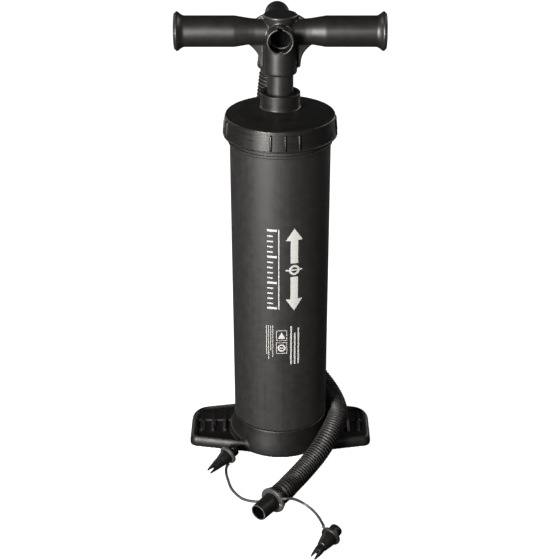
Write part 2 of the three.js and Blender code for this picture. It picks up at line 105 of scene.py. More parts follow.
def rounded(points, closed=False, seg=5):
    """Profile corners (r, z, fillet radius) to a polyline with arcs."""
    pts = [(p[0], p[1], p[2] if len(p) > 2 else 0.0) for p in points]
    if closed and abs(pts[0][0] - pts[-1][0]) < 1e-9 and abs(pts[0][1] - pts[-1][1]) < 1e-9:
        pts = pts[:-1]
    out, n = [], len(pts)
    for i, (x, y, r) in enumerate(pts):
        p = Vector((x, y))
        if r <= 0 or (not closed and i in (0, n - 1)):
            out.append((x, y))
            continue
        a, b = Vector(pts[i - 1][:2]) - p, Vector(pts[(i + 1) % n][:2]) - p
        la, lb = a.length, b.length
        a.normalize(); b.normalize()
        ang = a.angle(b)
        if ang > math.pi - 0.02:
            out.append((x, y))
            continue
        d = min(r / math.tan(ang / 2), 0.48 * la, 0.48 * lb)
        rr = d * math.tan(ang / 2)
        c = p + (a + b).normalized() * (rr / math.sin(ang / 2))
        s, e = p + a * d - c, p + b * d - c
        a0, a1 = math.atan2(s.y, s.x), math.atan2(e.y, e.x)
        da = (a1 - a0 + math.pi) % (2 * math.pi) - math.pi
        for k in range(seg + 1):
            t = a0 + da * k / seg
            out.append((c.x + rr * math.cos(t), c.y + rr * math.sin(t)))
    if closed:
        out.append(out[0])
    return out


def lathe_data(profile, n):
    pts = [tuple(p) for p in profile]
    closed = abs(pts[0][0] - pts[-1][0]) < 1e-9 and abs(pts[0][1] - pts[-1][1]) < 1e-9
    if closed:
        pts = pts[:-1]
    verts, rings, faces = [], [], []
    for r, z in pts:
        if r < 1e-6:
            rings.append([len(verts)])
            verts.append((0, 0, z))
        else:
            rings.append(list(range(len(verts), len(verts) + n)))
            verts += [(r * math.cos(2 * math.pi * k / n), r * math.sin(2 * math.pi * k / n), z) for k in range(n)]
    m = len(rings)
    for i in range(m if closed else m - 1):
        a, b = rings[i], rings[(i + 1) % m]
        if len(a) == 1 and len(b) == 1:
            continue
        for k in range(n):
            j = (k + 1) % n
            if len(a) == 1:
                faces.append((a[0], b[j], b[k]))
            elif len(b) == 1:
                faces.append((a[k], a[j], b[0]))
            else:
                faces.append((a[k], a[j], b[j], b[k]))
    return verts, faces


def lathe(name, profile, n=128, axis=None, at=(0, 0, 0), direction=None):
    """axis 'x' or 'y' turns the profile's height axis; direction is any unit vector."""
    verts, faces = lathe_data(profile, n)
    v = np.array(verts, float)
    if axis == "x":
        v = v[:, [2, 0, 1]]
    elif axis == "y":
        v = v[:, [1, 2, 0]]
    if direction is not None:
        q = Vector((0, 0, 1)).rotation_difference(Vector(direction))
        v = v @ np.array(q.to_matrix()).T
    return outward(new_object(name, v + np.array(at, float), faces))


def block(name, x0, x1, y0, y1, z0, z1):
    v = [(x, y, z) for x in (x0, x1) for y in (y0, y1) for z in (z0, z1)]
    f = [(0, 1, 3, 2), (4, 6, 7, 5), (0, 4, 5, 1), (2, 3, 7, 6), (0, 2, 6, 4), (1, 5, 7, 3)]
    return outward(new_object(name, v, f))


def loft(name, outlines):
    """Closed body through equal-length outlines [(x, y, z), ...]."""
    verts, faces, n = [], [], len(outlines[0])
    for o in outlines:
        verts += list(o)
    for i in range(len(outlines) - 1):
        for k in range(n):
            j = (k + 1) % n
            faces.append((i * n + k, i * n + j, (i + 1) * n + j, (i + 1) * n + k))
    faces.append(tuple(range(n)))
    faces.append(tuple((len(outlines) - 1) * n + k for k in range(n - 1, -1, -1)))
    return outward(new_object(name, verts, faces))


def plate_xz(name, pts, y0, y1):
    return loft(name, [[(x, y, z) for x, z in pts] for y in (y0, y1)])


def mirrored(ob, name):
    me = ob.data.copy()
    me.transform(Matrix.Scale(-1, 4, (1, 0, 0)))
    new = bpy.data.objects.new(name, me)
    scene.collection.objects.link(new)
    return outward(new)


def boolean(a, b, op="DIFFERENCE", keep=False):
    m = a.modifiers.new("b", "BOOLEAN")
    m.operation, m.object, m.solver = op, b, "EXACT"
    apply_modifiers(a)
    if not keep:
        bpy.data.objects.remove(b)
    return a


def join(name, parts):
    """One object out of several, with no boolean."""
    bm = bmesh.new()
    for p in parts:
        me = p.data.copy()
        me.transform(p.matrix_world)
        bm.from_mesh(me)
        bpy.data.meshes.remove(me)
    me = bpy.data.meshes.new(name)
    bm.to_mesh(me)
    bm.free()
    for p in parts:
        bpy.data.objects.remove(p)
    ob = bpy.data.objects.new(name, me)
    scene.collection.objects.link(ob)
    return ob


def remesh(ob, voxel, times=6, factor=0.5):
    """A moulded body: voxel remesh in drawing units, then its edges relaxed."""
    m = ob.modifiers.new("r", "REMESH")
    m.mode, m.voxel_size, m.use_smooth_shade = "VOXEL", voxel * S, True
    s = ob.modifiers.new("s", "SMOOTH")
    s.factor, s.iterations = factor, times
    apply_modifiers(ob)
    ob.data.polygons.foreach_set("use_smooth", [True] * len(ob.data.polygons))
    return ob


def centripetal(points, per=20):
    p = [np.array(q, float) for q in points]
    out, m = [], len(points)
    for i in range(m - 1):
        p1, p2 = p[i], p[i + 1]
        p0 = p[i - 1] if i else 2 * p[0] - p[1]
        p3 = p[i + 2] if i + 2 < m else 2 * p[-1] - p[-2]
        d0, d1, d2 = (max(np.linalg.norm(a - b) ** 0.5, 1e-4) for a, b in ((p1, p0), (p2, p1), (p3, p2)))
        t1 = ((p1 - p0) / d0 - (p2 - p0) / (d0 + d1) + (p2 - p1) / d1) * d1
        t2 = ((p2 - p1) / d1 - (p3 - p1) / (d1 + d2) + (p3 - p2) / d2) * d1
        for k in range(per):
            u = k / per
            out.append(p1 + t1 * u + (3 * (p2 - p1) - 2 * t1 - t2) * u * u + (2 * (p1 - p2) + t1 + t2) * u ** 3)
    out.append(p[-1])
    return np.array(out)


def even(path, step):
    """Path resampled at even steps, with the length along it."""
    seg = np.linalg.norm(np.diff(path, axis=0), axis=1)
    s = np.concatenate([[0], np.cumsum(seg)])
    n = max(2, int(round(s[-1] / step)) + 1)
    t = np.linspace(0, s[-1], n)
    return np.column_stack([np.interp(t, s, path[:, k]) for k in range(3)]), t


def sweep(name, path, radii, n=24):
    """Closed tube along path; radii is one number a ring, or a (rings, n) table."""
    path = np.array(path, float)
    tan = np.gradient(path, axis=0)
    tan /= np.linalg.norm(tan, axis=1)[:, None]
    u = np.cross(tan[0], [0.0, 0.0, 1.0])
    if np.linalg.norm(u) < 0.1:
        u = np.cross(tan[0], [0.0, 1.0, 0.0])
    u /= np.linalg.norm(u)
    ang = 2 * np.pi * np.arange(n) / n
    radii = np.array(radii, float)
    if radii.ndim == 1:
        radii = np.repeat(radii[:, None], n, axis=1)
    verts, faces = [], []
    for i, (p, t) in enumerate(zip(path, tan)):
        u = u - t * (u @ t)
        u /= np.linalg.norm(u)
        w = np.cross(t, u)
        verts.append(p + radii[i][:, None] * (np.cos(ang)[:, None] * u + np.sin(ang)[:, None] * w))
    verts = np.concatenate(verts)
    for i in range(len(path) - 1):
        for k in range(n):
            j = (k + 1) % n
            faces.append((i * n + k, i * n + j, (i + 1) * n + j, (i + 1) * n + k))
    faces.append(tuple(range(n - 1, -1, -1)))
    faces.append(tuple((len(path) - 1) * n + k for k in range(n)))
    return outward(new_object(name, verts, faces))


# ------------------------------------------------------------------ materials
def plastic(name, tone, rough, grain=1400.0, bump=0.12, mottle=0.16, streak=0.0, streaks=(420.0, 420.0, 9.0), rub_and_sheen=0.0, edge=(0.52, 0.60), patchy=(0.35, 0.6), spec=0.5, coat=0.0, coat_rough=0.25, tint=(1.0, 0.98, 0.95)):
    """Moulded plastic: two close tones, uneven gloss, a fine moulded grain, and where asked vertical wipe marks and
    edges made lighter by pointiness: rubbed wear on some parts, a painted highlight on the hose ridges and the handle's
    port rim.
    """
    m = bpy.data.materials.new(name)
    m.use_nodes = True
    nt = m.node_tree
    new, link = nt.nodes.new, nt.links.new
    b = nt.nodes["Principled BSDF"]
    tc = new("ShaderNodeTexCoord")

    def noise(scale, detail=3.0, stretch=None):
        n = new("ShaderNodeTexNoise")
        n.inputs["Scale"].default_value = scale
        n.inputs["Detail"].default_value = detail
        if stretch:
            mp = new("ShaderNodeMapping")
            mp.inputs["Scale"].default_value = stretch
            link(tc.outputs["Object"], mp.inputs["Vector"])
            link(mp.outputs["Vector"], n.inputs["Vector"])
        else:
            link(tc.outputs["Object"], n.inputs["Vector"])
        return n.outputs["Fac"]

    def ranged(value, a, z, lo=0.3, hi=0.7):
        r = new("ShaderNodeMapRange")
        r.inputs["From Min"].default_value, r.inputs["From Max"].default_value = lo, hi
        r.inputs["To Min"].default_value, r.inputs["To Max"].default_value = a, z
        link(value, r.inputs["Value"])
        return r.outputs["Result"]

    def mix(fac, a, z):
        x = new("ShaderNodeMix")
        x.data_type = "RGBA"
        link(fac, x.inputs["Factor"])
        for socket, v in ((x.inputs["A"], a), (x.inputs["B"], z)):
            if isinstance(v, tuple):
                socket.default_value = (*v, 1)
            else:
                link(v, socket)
        return x.outputs["Result"]

    lo = tuple(tone * (1 - mottle) * c for c in tint)
    hi = tuple(tone * (1 + mottle) * c for c in tint)
    colour = mix(ranged(noise(55.0), 0, 1), lo, hi)
    r = ranged(noise(130.0, 4.0), rough - 0.045, rough + 0.055)
    if streak:
        st = noise(1.0, 2.0, streaks)
        add = new("ShaderNodeMath")
        add.operation = "MULTIPLY_ADD"
        link(ranged(st, -1, 1), add.inputs[0])
        add.inputs[1].default_value = streak
        link(r, add.inputs[2])
        r = add.outputs[0]
    # edge lightening by pointiness: rubbed wear on most parts, a painted highlight on the hose ridge crests and round
    # the handle's port rim
    if rub_and_sheen:
        g = new("ShaderNodeNewGeometry")
        rim = ranged(g.outputs["Pointiness"], 0, 1, *edge)
        patch = ranged(noise(220.0, 5.0), 0.35, 1.0, *patchy)
        mul = new("ShaderNodeMath")
        mul.operation = "MULTIPLY"
        link(rim, mul.inputs[0])
        link(patch, mul.inputs[1])
        colour = mix(mul.outputs[0], colour, tuple(rub_and_sheen * c for c in tint))
    link(colour, b.inputs["Base Color"])
    link(r, b.inputs["Roughness"])
    bp = new("ShaderNodeBump")
    bp.inputs["Strength"].default_value = bump
    bp.inputs["Distance"].default_value = 0.0004
    link(noise(grain, 2.0), bp.inputs["Height"])
    link(bp.outputs["Normal"], b.inputs["Normal"])
    b.inputs["Specular IOR Level"].default_value = spec
    b.inputs["Coat Weight"].default_value = coat
    b.inputs["Coat Roughness"].default_value = coat_rough
    return m


def metal(name, tone, rough):
    m = plastic(name, tone, rough, grain=2500.0, bump=0.05, mottle=0.06)
    m.node_tree.nodes["Principled BSDF"].inputs["Metallic"].default_value = 1.0
    return m


BARREL = plastic("barrel_satin", 0.0085, 0.50, bump=0.16, streak=0.03, mottle=0.10)
CAP = plastic("cap_plastic", 0.0045, 0.40, bump=0.07, mottle=0.12, spec=0.38, streak=0.09, streaks=(14.0, 14.0, 900.0))
BASE = plastic("base_plastic_look", 0.0035, 0.46, bump=0.10, rub_and_sheen=0.022, edge=(0.53, 0.62), spec=0.30)
# handle: edges painted lighter, partly rubbed wear and partly a painted highlight round the port's front rim
HANDLE = plastic("handle_plastic_wear_and_rim_highlight", 0.0065, 0.40, bump=0.10, rub_and_sheen=0.070)
ROD = plastic("rod_plastic", 0.0085, 0.40, bump=0.04, streak=0.05)
# hose: its ridge crests are painted lighter evenly all round, a painted highlight that draws each ridge as a lit line
HOSE = plastic("hose_plastic_crest_highlight", 0.003, 0.46, bump=0.03, grain=1800.0, rub_and_sheen=0.13, edge=(0.55, 0.64), patchy=(0.0, 0.3), spec=0.26)
ELBOW = plastic("connector_plastic", 0.007, 0.42, bump=0.10, rub_and_sheen=0.04)
FITTING = plastic("fitting_plastic", 0.0035, 0.40, bump=0.06, rub_and_sheen=0.032, edge=(0.55, 0.66), spec=0.32)
RING = plastic("ring_plastic", 0.030, 0.42, bump=0.08, rub_and_sheen=0.16)
TETHER = plastic("tether_plastic", 0.030, 0.42, bump=0.04)
# near-black plastic with almost no gloss, laid in the port, the nozzle bore and round the rod: painted shade in those
# recesses
SHADE_BLACK = plastic("inner_dark", 0.0012, 0.6, bump=0.03, spec=0.04)
# right strap eye: a darker copy of the left eye's ring plastic, painted shade, with its edges lighter by pointiness
EYE_SHADE = plastic("strap_eye_painted_shade", 0.010, 0.42, bump=0.06, rub_and_sheen=0.07, edge=(0.53, 0.62), spec=0.4)
# a darker, less glossy copy of the handle plastic for the port ramps: painted shade inside the port
LEDGE_SHADE = plastic("port_ledge_painted_shade", 0.004, 0.42, bump=0.03, spec=0.30)
RUBBER = plastic("rubber_look", 0.008, 0.72, bump=0.08)
NATURAL = plastic("undyed_plastic", 0.62, 0.45, bump=0.05, tint=(1.0, 0.97, 0.89))
STEEL = metal("screw_metal", 0.60, 0.32)


def finish_piece(ob, material, body, slot, *nodes):
    ob.data.materials.clear()
    ob.data.materials.append(material)
    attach(ob, body)
    if nodes:
        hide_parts(*nodes)
    return ob


ROOT, PLUNGER = "barrel_unit", "plunger"

# ------------------------------------------------------------------ hose, tethers and what is on them
HOSE_PATH = [
    (-10.1, 71.5, 390.6), (-11.9, 71.9, 375), (-14.4, 72.8, 350), (-16.4, 74, 300), (-17, 74.6, 240), (-15.8, 75.4, 190), (-11.8, 76.2, 150),
    (-4.4, 77, 115), (7.6, 76.4, 84.5), (21.6, 72.2, 61), (34.3, 63.0, 44.4), (46.4, 50.4, 34.1), (55.9, 33.2, 27.9), (61.3, 13.8, 25.2),
    (62.6, -8, 24.4), (56.6, -31, 23.9), (48.2, -52.4, 20.6), (39, -69, 15.6), (29.2, -84.4, 12.3), (18.6, -103, 11.5), (9.6, -118.6, 11.6),
    (4.9, -130.4, 14.0), (0.3, -138.5, 14.9), (-4.15, -144.55, 14.55),
]
TETHER_L = [(-17.05, -141.1, 7.1), (-20.8, -138.8, 5.0), (-30.3, -134.6, 2.6), (-39, -128.6, 1.5), (-49, -114.3, 1.5), (-54.6, -95, 1.5),
            (-56.6, -83.3, 1.5), (-56.9, -76.5, 1.5), (-56.0, -71.4, 1.7), (-54.8, -68.4, 2.4)]
TETHER_R = [(2.25, -156.7, 21.4), (5.2, -158.2, 22.8), (12.9, -155.6, 20.6), (22.1, -154.4, 15), (31.1, -160.5, 11.6), (37.6, -172, 11),
            (40.6, -184, 13), (41.7, -193, 16.6), (41.8, -198.4, 18.8)]
PITCH, HOSE_R, HOSE_ROOT = 3.72, 11.0, 9.0
hose_line, hose_s = even(centripetal(HOSE_PATH, 40), 0.5)
RING_N, STEPS = 30, 8


def corrugated(name, line, s, pitch, root, crest, plain=4.0):
    """Hose wall with one helical ridge; the grid lines run along the ridge, so it stays crisp."""
    tan = np.gradient(line, axis=0)
    tan /= np.linalg.norm(tan, axis=1)[:, None]
    u = np.cross(tan[0], [1.0, 0.0, 0.0])
    frames = []
    for t in tan:
        u = u - t * (u @ t)
        u /= np.linalg.norm(u)
        frames.append(u.copy())
    frames = np.array(frames)
    total = s[-1]
    turns = int(round(total / pitch))
    pitch = total / turns
    rows = (turns + 1) * STEPS + 1
    i, k = np.meshgrid(np.arange(rows), np.arange(RING_N), indexing="ij")
    at = np.clip((i / STEPS - k / RING_N) * pitch, 0, total)
    shape = (0.5 + 0.5 * np.cos(2 * np.pi * i / STEPS)) ** 1.6
    edge = np.clip(np.minimum(at, total - at) / plain, 0, 1) ** 2
    radius = (root + 0.15) * (1 - edge) + (root + (crest - root) * shape) * edge
    p, t, v = ([np.interp(at, s, arr[:, c]) for c in range(3)] for arr in (line, tan, frames))
    p, t, v = (np.stack(x, axis=-1) for x in (p, t, v))
    v -= t * (v * t).sum(-1, keepdims=True)
    v /= np.linalg.norm(v, axis=-1, keepdims=True)
    w = np.cross(t, v)
    a = 2 * np.pi * k / RING_N
    pos = p + radius[..., None] * (np.cos(a)[..., None] * v + np.sin(a)[..., None] * w)
    index = lambda r, c: r * RING_N + c if c < RING_N else max(r - STEPS, 0) * RING_N
    faces = [(index(r, c), index(r, c + 1), index(r + 1, c + 1), index(r + 1, c)) for r in range(rows - 1) for c in range(RING_N)]
    faces.append(tuple(range(RING_N - 1, -1, -1)))
    faces.append(tuple((rows - 1) * RING_N + c for c in range(RING_N)))
    bm = bmesh.new()
    vs = [bm.verts.new(tuple(q * S)) for q in pos.reshape(-1, 3)]
    bm.verts.ensure_lookup_table()
    seen = {}
    for f in faces:
        ids = []
        for n in f:
            key = tuple(np.round(vs[n].co, 8))
            n = seen.setdefault(key, n)
            if not ids or (ids[-1] != n and ids[0] != n):
                ids.append(n)
        if len(ids) > 2:
            try:
                bm.faces.new([vs[n] for n in ids])
            except ValueError:
                pass
    bmesh.ops.delete(bm, geom=[q for q in bm.verts if not q.link_faces], context="VERTS")
    bmesh.ops.recalc_face_normals(bm, faces=bm.faces)
    me = bpy.data.meshes.new(name)
    bm.to_mesh(me)
    bm.free()
    ob = bpy.data.objects.new(name, me)
    scene.collection.objects.link(ob)
    me.polygons.foreach_set("use_smooth", [True] * len(me.polygons))
    return ob


hose = corrugated("hose_ribbed", hose_line, hose_s, PITCH, HOSE_ROOT, HOSE_R)
hose.data.materials.append(HOSE)
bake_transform(hose)
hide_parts("hose_rear_run", "hose_front_run")

NOZZLE_AT = np.array([-6.2, -147.3, 14.35])
NOZZLE_DIR = Vector((-0.6, -0.8, -0.06)).normalized()
nozzle = lathe("nozzle_body", rounded([
    (5.7, -2.9), (9.4, -2.9, 0.3), (12.4, -2.6, 0.5), (12.4, -0.1, 0.3), (9.1, -0.1), (9.1, 3.7), (9.15, 8.0, 2), (8.65, 24.9), (8.3, 25.9, 0.45), (7.45, 25.9, 0.35),
    (7.2, 14.0), (5.7, 12.0, 0.3), (5.7, -2.9)], closed=True), 72, at=NOZZLE_AT, direction=NOZZLE_DIR)
finish_piece(weighted(smooth(nozzle)), FITTING, ROOT, "base_plastic", "hose_nozzle")
# moulding ribs on the nozzle, and a near-black lining in its bore behind the mouth: painted shade
bore = lathe("nozzle_bore_core", rounded([(0, 2.0), (5.65, 2.0), (5.65, 12.0), (7.1, 14.0), (7.3, 24.8), (6.95, 24.8), (6.75, 14.2), (5.3, 12.2), (5.3, 4.0), (3.4, 4.0), (3.4, 9.0, 0.2), (2.9, 9.0, 0.2), (2.9, 2.8), (0, 2.8)]), 64, at=NOZZLE_AT, direction=NOZZLE_DIR)
finish_piece(weighted(smooth(bore)), SHADE_BLACK, ROOT, "base_plastic")
lip = lathe("nozzle_lip", rounded([(7.3, 25.4), (8.45, 25.4, 0.3), (8.45, 26.1, 0.35), (7.3, 26.1, 0.3), (7.3, 25.4)], closed=True), 72, at=NOZZLE_AT, direction=NOZZLE_DIR)
finish_piece(weighted(smooth(lip)), RING, ROOT, "base_plastic")
collar = lathe("tether_ring", rounded([(9.15, 0.25), (13.3, 0.25, 1.0), (13.9, 1.9, 1.4), (13.3, 3.65, 1.0), (9.15, 3.65, 0.3), (9.15, 0.25)], closed=True, seg=6), 96,
               at=NOZZLE_AT, direction=NOZZLE_DIR)
finish_piece(weighted(smooth(collar)), RING, ROOT, "hose_plastic", "tether_collar")


def adapter(name, node, at, direction, profile, slit_at, extras=()):
    ob = lathe(name, rounded(profile, closed=True), 64)
    end = max(p[1] for p in profile)
    ob = boolean(ob, plate_xz(name + "_slit", [(-0.55, slit_at), (0.55, slit_at), (1.7, end + 1), (-1.7, end + 1)], -8, 8))
    for e in extras:
        ob = boolean(ob, e, "UNION")
    axis = Vector(direction).normalized()
    q = Vector((0, 0, 1)).rotation_difference(axis)
    across, want = q @ Vector((0, 1, 0)), Vector((0.0, -0.78, 0.62))
    want = (want - axis * want.dot(axis)).normalized()
    q = Quaternion(axis, math.atan2(axis.dot(across.cross(want)), across.dot(want))) @ q
    ob.data.transform(Matrix.Translation(Vector(at) * S) @ q.to_matrix().to_4x4())
    m = ob.modifiers.new("bevel", "BEVEL")
    m.width, m.segments, m.limit_method, m.angle_limit = 0.16 * S, 2, "ANGLE", math.radians(40)
    apply_modifiers(ob)
    return finish_piece(weighted(smooth(ob, 35)), FITTING, ROOT, "base_plastic", node)


def eye(name, at, direction, material):
    """The strap's loop, clipped over the adapter's flange."""
    ob = lathe(name, rounded([(7.5, -1.45), (9.7, -1.45, 0.6), (10.15, 0.2, 0.9), (9.7, 1.95, 0.7), (7.5, 1.95, 0.3), (7.5, -1.45)], closed=True, seg=6), 80, at=at, direction=Vector(direction).normalized())
    return finish_piece(weighted(smooth(ob)), material, ROOT, "hose_plastic")


adapter_l = adapter("adapter_left", "valve_adapter_left", (-55, -63.3, 10.25), (-0.657, -0.72, -0.225), [
    (4.2, -10), (6.1, -10, 0.5), (6.4, -9, 0.3), (6.4, -5.6), (6.1, -5.2), (6.1, -4.6), (6.4, -4.2), (6.4, -1.2, 0.3), (9.9, -1.2, 0.7), (9.9, 1.6, 0.9), (7.7, 1.6, 0.8),
    (7.3, 5.0, 2), (5.6, 13.0, 3), (4.9, 18.5, 2), (3.1, 29, 0.4), (1.7, 29), (1.7, 22), (4.2, 0), (4.2, -10)], 21.0)
adapter_r = adapter("adapter_right", "valve_adapter_right", (48.8, -201.2, 10.2), (-0.561, -0.804, -0.192), [
    (4.2, -10.5), (6.1, -10.5, 0.5), (6.4, -9.5, 0.3), (6.4, -6.0), (6.1, -5.6), (6.1, -5.0), (6.4, -4.6), (7.4, -1.2, 0.3), (9.9, -1.2, 0.7), (9.9, 1.6, 0.9), (8.0, 1.6, 0.8),
    (7.6, 5.2, 1.5), (5.3, 15.6, 0.5), (4.6, 16.2, 0.5), (4.4, 22.6, 1.0), (3.2, 31, 0.4), (1.7, 31), (1.7, 23), (4.2, 0), (4.2, -10.5)], 23.0)

eye_l = eye("strap_eye_left", (-55, -63.3, 10.25), (-0.657, -0.72, -0.225), RING)
# the right eye takes the darker painted-shade copy of the eye plastic
eye_r = eye("strap_eye_right", (48.8, -201.2, 10.2), (-0.561, -0.804, -0.192), EYE_SHADE)


def tether(name, node, pts, *fittings):
    line, s = even(centripetal(pts, 24), 1.0)
    r = np.full(len(s), 1.4)
    # moulded roots, a little thicker where the strap meets its rings
    d = np.minimum(s, s[-1] - s)
    r += 0.35 * np.exp(-d / 1.6)
    ob = smooth(sweep(name, line, r, 14), 60)
    finish_piece(ob, TETHER, ROOT, "hose_plastic", node)
    return ob


tether_l = tether("tether_strap_left", "tether_left", TETHER_L, adapter_l, eye_l)
tether_r = tether("tether_strap_right", "tether_right", TETHER_R, adapter_r, eye_r)

# ------------------------------------------------------------------ barrel
barrel = lathe("barrel_shell", rounded([
    (47.3, 10.4), (47.3, 30.5), (49.2, 30.5, 0.5), (50.0, 339.4, 0.4), (51.7, 340.4, 0.4), (51.7, 342.4, 0.4), (49.6, 342.4), (49.6, 361.5, 0.4), (46.5, 361.5, 0.4),
    (46.5, 13.4), (0, 13.4)][:10]) + [(0, 13.4), (0, 10.4), (47.3, 10.4)], 192)
finish_piece(weighted(smooth(barrel)), BARREL, ROOT, "body_plastic", "barrel")

# ------------------------------------------------------------------ screw cap
cap = lathe("screw_cap_shell", rounded([
    (16.3, 390.5, 0.5), (19.6, 390.5, 0.9), (19.6, 375.6, 1.6), (53.9, 368.2, 1.3), (55.65, 349.3, 0.3), (56.25, 348.8, 0.35), (56.25, 347.7, 0.3), (51.9, 347.7, 0.3), (51.9, 363.9), (46.0, 363.9),
    (19.6, 371.0), (19.6, 352.0), (16.3, 352.0), (16.3, 384.4), (14.4, 384.4, 0.3), (14.4, 386.2, 0.3), (16.3, 386.2), (16.3, 390.5)], closed=True, seg=7), 192)
finish_piece(weighted(smooth(cap)), CAP, ROOT, "body_plastic", "screw_cap")
ribs = []
for quarter in range(4):
    for a in (-9.4, 5.2, 19.7):
        prof, ring = [], []
        ang = math.radians(-90 + a + 90 * quarter)
        radial, side = Vector((math.cos(ang), math.sin(ang), 0)), Vector((-math.sin(ang), math.cos(ang), 0))
        outlines = []
        for z, w, h in ((349.0, 0.8, 0.1), (349.3, 1.1, 0.9), (350.2, 1.25, 1.3), (356.0, 1.25, 1.3), (363.2, 1.25, 1.3), (364.5, 1.1, 1.0), (365.2, 0.7, 0.1)):
            wall = 55.75 - (z - 347.7) * 0.0902
            row = []
            for k in range(9):
                t = math.pi * k / 8
                p = radial * (wall - 0.4 + (h + 0.4) * math.sin(t) ** 0.6) + side * (w * math.cos(t))
                row.append((p.x, p.y, z))
            p0 = radial * (wall - 1.2)
            row.append((p0.x - side.x * w, p0.y - side.y * w, z))
            row.append((p0.x + side.x * w, p0.y + side.y * w, z))
            outlines.append(row)
        ribs.append(loft("rib", outlines))
cap_ribs = join("screw_cap_ribs", ribs)
finish_piece(smooth(cap_ribs, 50), CAP, ROOT, "body_plastic")


# ------------------------------------------------------------------ foot base
def wing_outline(off, inner, z):
    front = lambda x: -(44.2 - 0.1875 * (x - 27)) + off
    rear = lambda x: 44.2 - 0.1875 * (x - 27) - off
    x1, rf, rr = 97.5 - off, max(8.5 - off, 2), max(20 - off, 4)
    pts = [(inner, front(inner), z)]

    def arc(cx, cy, r, a0, a1, k):
        for i in range(k + 1):
            a = math.radians(a0 + (a1 - a0) * i / k)
            pts.append((cx + r * math.cos(a), cy + r * math.sin(a), z))

    arc(x1 - rf, front(x1 - rf) + rf * 1.02, rf, -79.4, 0, 10)
    arc(x1 - rr, rear(x1 - rr) - rr * 1.02, rr, 0, 79.4, 14)
    pts.append((inner, rear(inner), z))
    return pts


def wing_side():
    body = loft("wing", [wing_outline(off, 20, z) for off, z in ((0.0, 0.0), (0.0, 4.2), (0.35, 6.4), (1.15, 8.6), (2.4, 10.4), (3.7, 11.4), (4.5, 11.6))])
    tub = [(4.5, 12.4), (4.6, 11.4), (4.9, 10.4), (5.3, 9.4), (5.6, 8.6)]
    low = loft("low", [wing_outline(off, 20, z) for off, z in ((6.0, 6.4), *tub[::-1])])
    high = loft("high", [wing_outline(off, 20, z) for off, z in ((5.6, 8.6), *tub[:-1][::-1])])
    boolean(low, lathe("keep", [(0, -5), (54.5, -5), (54.5, 30), (0, 30)], 128), keep=False)
    boolean(high, lathe("keep", [(0, -5), (54.5, -5), (54.5, 30), (0, 30)], 128), keep=False)
    boolean(low, block("corner", 20, 43.0, -60, -31.5, 0, 40))
    boolean(low, block("half", 0, 120, -60, 8.2, 0, 40), "INTERSECT")
    boolean(high, block("half", 0, 120, 8.0, 60, 0, 40), "INTERSECT")
    boolean(body, low)
    boolean(body, high)
    for x in (60, 72.8, 85.6):
        rib = loft("tread", [[(x + w * math.cos(t), (7.5 + (16.5 + w) * 1.0 * (1 if math.sin(t) > 0 else -1) + w * math.sin(t)), z) for t in np.linspace(0, 2 * math.pi, 20, endpoint=False)]
                             for w, z in ((1.8, 5.6), (1.6, 8.2), (1.2, 8.9), (0.6, 9.25))])
        boolean(body, rib, "UNION")
    under = loft("under", [wing_outline(2.4, 20, -1), wing_outline(2.4, 20, 3.9)])
    boolean(under, lathe("keep", [(0, -5), (53.2, -5), (53.2, 30), (0, 30)], 96))
    boolean(under, block("web", 71.6, 74, -60, 60, -2, 5))
    boolean(under, block("web", 40, 120, -1.2, 1.2, -2, 5))
    return boolean(body, under)


wing_r = wing_side()
wing_l = mirrored(wing_r, "wing_l")
base = lathe("foot_base_shell", [(0, 0), (53.9, 0), (54.1, 0.5), (54.05, 3.0), (53.6, 7.5), (52.8, 12.5), (51.7, 18), (50.7, 23), (50.0, 27), (49.55, 30.2), (0, 30.2)], 160)
boolean(base, wing_r, "UNION")
boolean(base, wing_l, "UNION")
boolean(base, lathe("socket", [(0, 10), (47.7, 10), (47.7, 40), (0, 40)], 128))
hollow = lathe("hollow", [(0, -1), (50.2, -1), (50.2, 6.2), (0, 6.2)], 96)
for a in (45, 135):
    web = block("web", -52, 52, -1.2, 1.2, -2, 7)
    web.data.transform(Matrix.Rotation(math.radians(a), 4, "Z"))
    boolean(hollow, web)
boolean(hollow, lathe("boss", [(0, -2), (9, -2), (9, 7), (0, 7)], 48))
for x, y in ((26, 26), (-26, 26), (-26, -26), (26, -26)):
    boolean(hollow, lathe("boss", [(0, -2), (6.4, -2), (6.4, 7), (0, 7)], 32, at=(x, y, 0)))
boolean(base, hollow)
for x, y in ((26, 26), (-26, 26), (-26, -26), (26, -26)):
    boolean(base, lathe("hole", [(0, -1), (4.8, -1), (4.8, 3.2), (2.3, 3.2), (2.3, 12), (0, 12)], 32, at=(x, y, 0)))
remesh(base, 0.95, 5)
finish_piece(base, BASE, ROOT, "base_plastic", "foot_base")

# ------------------------------------------------------------------ rod
rod = lathe("rod_shell", rounded([(10.8, 37.4), (12.75, 37.4, 0.4), (12.75, 430.4, 0.4), (10.8, 430.4), (10.8, 37.4)], closed=True), 96)
finish_piece(weighted(smooth(rod)), ROD, PLUNGER, "body_plastic", "rod_tube")

